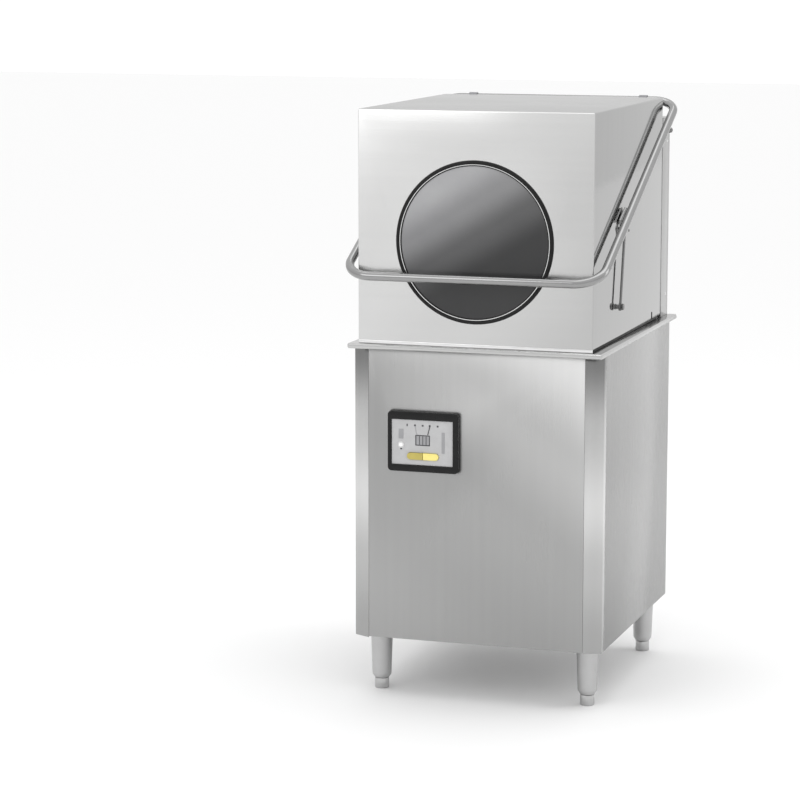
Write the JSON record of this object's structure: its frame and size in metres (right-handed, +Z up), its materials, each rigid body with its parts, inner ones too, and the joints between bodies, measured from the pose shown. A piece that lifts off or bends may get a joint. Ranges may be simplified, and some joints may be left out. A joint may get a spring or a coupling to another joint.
{
  "type": "commercial dishwasher",
  "caption": "Hood-type pass-through dishwasher: lift-up box hood with round window and U-shaped lever, square cabinet with front control panel, table rim, and levelling legs.",
  "frame": {"origin": "on the floor, under the middle of the bounding box", "axes": "+X right seen from the front, +Y to the back, +Z up; the control panel faces -Y"},
  "size_m": [0.6648, 0.8319, 1.463],
  "materials": {
    "steel": "brushed",
    "steel_polished": "polished",
    "steel_dark": "satin",
    "rubber_black": "matt",
    "glass_smoked": "clear",
    "plastic_black": "semi-gloss",
    "plastic_grey": "matt",
    "plastic_silver": "matt",
    "plastic_white": "gloss",
    "plastic_olive": "gloss",
    "plastic_yellow": "gloss",
    "motor_paint": "satin",
    "brass": "satin"
  },
  "bodies": {
    "cabinet": {"front_panel": "steel", "rear_panel": "steel", "corner_post_left": "steel", "corner_post_right": "steel", "side_panel_left": "steel", "side_panel_right": "steel", "leg_front_left": "steel", "leg_front_right": "steel", "leg_back_left": "steel", "leg_back_right": "steel", "wash_tank": "steel", "strainer_pan": "steel", "rack_rail_front": "steel", "rack_rail_rear": "steel", "wash_manifold": "steel", "rinse_boiler": "steel", "rear_column_left": "steel", "rear_column_right": "steel", "chamber_back": "steel", "top_bridge": "steel", "docking_rim": "steel_polished", "chassis_tray": "steel_dark", "heating_element": "steel_dark", "control_bezel": "plastic_black", "pump_motor": "motor_paint", "strut_cylinder_left": "motor_paint", "strut_cylinder_right": "motor_paint", "control_housing": "plastic_grey", "drain_pipe": "plastic_grey", "pump_housing": "plastic_grey", "pivot_bearing_left": "plastic_grey", "pivot_bearing_right": "plastic_grey", "control_membrane": "plastic_silver", "water_inlet": "brass"},
    "hood": {"hood_front": "steel_polished", "hood_top": "steel_polished", "hood_side_left": "steel_polished", "hood_side_right": "steel_polished", "window_glass": "glass_smoked", "window_gasket": "rubber_black", "hood_carriage_left": "steel_dark", "hood_carriage_right": "steel_dark"},
    "handle": {"handle_bar": "steel_polished"},
    "link_left": {"link_left": "steel_dark"},
    "link_right": {"link_right": "steel_dark"},
    "foot_front_left": {"foot_front_left": "steel_dark"},
    "foot_front_right": {"foot_front_right": "steel_dark"},
    "foot_back_left": {"foot_back_left": "steel_dark"},
    "foot_back_right": {"foot_back_right": "steel_dark"},
    "standpipe": {"standpipe": "plastic_grey"},
    "pump_impeller": {"pump_impeller": "plastic_grey"},
    "wash_arm_lower": {"wash_arm_lower": "steel"},
    "wash_arm_upper": {"wash_arm_upper": "steel"},
    "rinse_arm_lower": {"rinse_arm_lower": "steel"},
    "rinse_arm_upper": {"rinse_arm_upper": "steel"},
    "start_button": {"start_button": "plastic_white"},
    "cycle_button_left": {"cycle_button_left": "plastic_olive"},
    "cycle_button_right": {"cycle_button_right": "plastic_yellow"}
  },
  "joints": [
    {"name": "hood_lift", "type": "slide", "parent": "cabinet", "child": "hood", "axis": [0, 0, 1], "range_m": [0, 0.4], "stiffness_N_per_m": 20, "springref_m": 9},
    {"name": "handle_hinge", "type": "hinge", "parent": "cabinet", "child": "handle", "pos_m": [0, 0.385, 1.449], "axis": [-1, 0, 0], "range_deg": [0, 41.7]},
    {"name": "link_left_pivot", "type": "hinge", "parent": "hood", "child": "link_left", "pos_m": [-0.308, -0.149, 0.975], "axis": [1, 0, 0], "range_deg": [0, 19.5]},
    {"name": "link_right_pivot", "type": "hinge", "parent": "hood", "child": "link_right", "pos_m": [0.308, -0.149, 0.975], "axis": [1, 0, 0], "range_deg": [0, 19.5]},
    {"name": "foot_front_left_screw", "type": "slide", "parent": "cabinet", "child": "foot_front_left", "axis": [0, 0, -1], "range_m": [0, 0.02]},
    {"name": "foot_front_right_screw", "type": "slide", "parent": "cabinet", "child": "foot_front_right", "axis": [0, 0, -1], "range_m": [0, 0.02]},
    {"name": "foot_back_left_screw", "type": "slide", "parent": "cabinet", "child": "foot_back_left", "axis": [0, 0, -1], "range_m": [0, 0.02]},
    {"name": "foot_back_right_screw", "type": "slide", "parent": "cabinet", "child": "foot_back_right", "axis": [0, 0, -1], "range_m": [0, 0.02]},
    {"name": "standpipe_lift", "type": "slide", "parent": "cabinet", "child": "standpipe", "axis": [0, 0, 1], "range_m": [0, 0.03]},
    {"name": "impeller_spin", "type": "hinge", "parent": "cabinet", "child": "pump_impeller", "pos_m": [-0.11, -0.045, 0.447], "axis": [0, 0, 1], "continuous": true},
    {"name": "wash_arm_lower_spin", "type": "hinge", "parent": "cabinet", "child": "wash_arm_lower", "pos_m": [0, -0.045, 0.846], "axis": [0, 0, 1], "continuous": true},
    {"name": "rinse_arm_lower_spin", "type": "hinge", "parent": "cabinet", "child": "rinse_arm_lower", "pos_m": [0, -0.045, 0.87], "axis": [0, 0, 1], "continuous": true},
    {"name": "rinse_arm_upper_spin", "type": "hinge", "parent": "cabinet", "child": "rinse_arm_upper", "pos_m": [0, -0.045, 1.331], "axis": [0, 0, 1], "continuous": true},
    {"name": "wash_arm_upper_spin", "type": "hinge", "parent": "cabinet", "child": "wash_arm_upper", "pos_m": [0, -0.045, 1.353], "axis": [0, 0, 1], "continuous": true},
    {"name": "start_button_press", "type": "slide", "parent": "cabinet", "child": "start_button", "axis": [0, 1, 0], "range_m": [0, 0.002], "stiffness_N_per_m": 600},
    {"name": "cycle_button_left_press", "type": "slide", "parent": "cabinet", "child": "cycle_button_left", "axis": [0, 1, 0], "range_m": [0, 0.002], "stiffness_N_per_m": 600},
    {"name": "cycle_button_right_press", "type": "slide", "parent": "cabinet", "child": "cycle_button_right", "axis": [0, 1, 0], "range_m": [0, 0.002], "stiffness_N_per_m": 600}
  ],
  "couplings": [
    {"joint": "handle_hinge", "follows": "hood_lift", "rad_per_m": 1.8169},
    {"joint": "link_left_pivot", "follows": "hood_lift", "rad_per_m": 0.84855},
    {"joint": "link_right_pivot", "follows": "hood_lift", "rad_per_m": 0.84855}
  ]
}
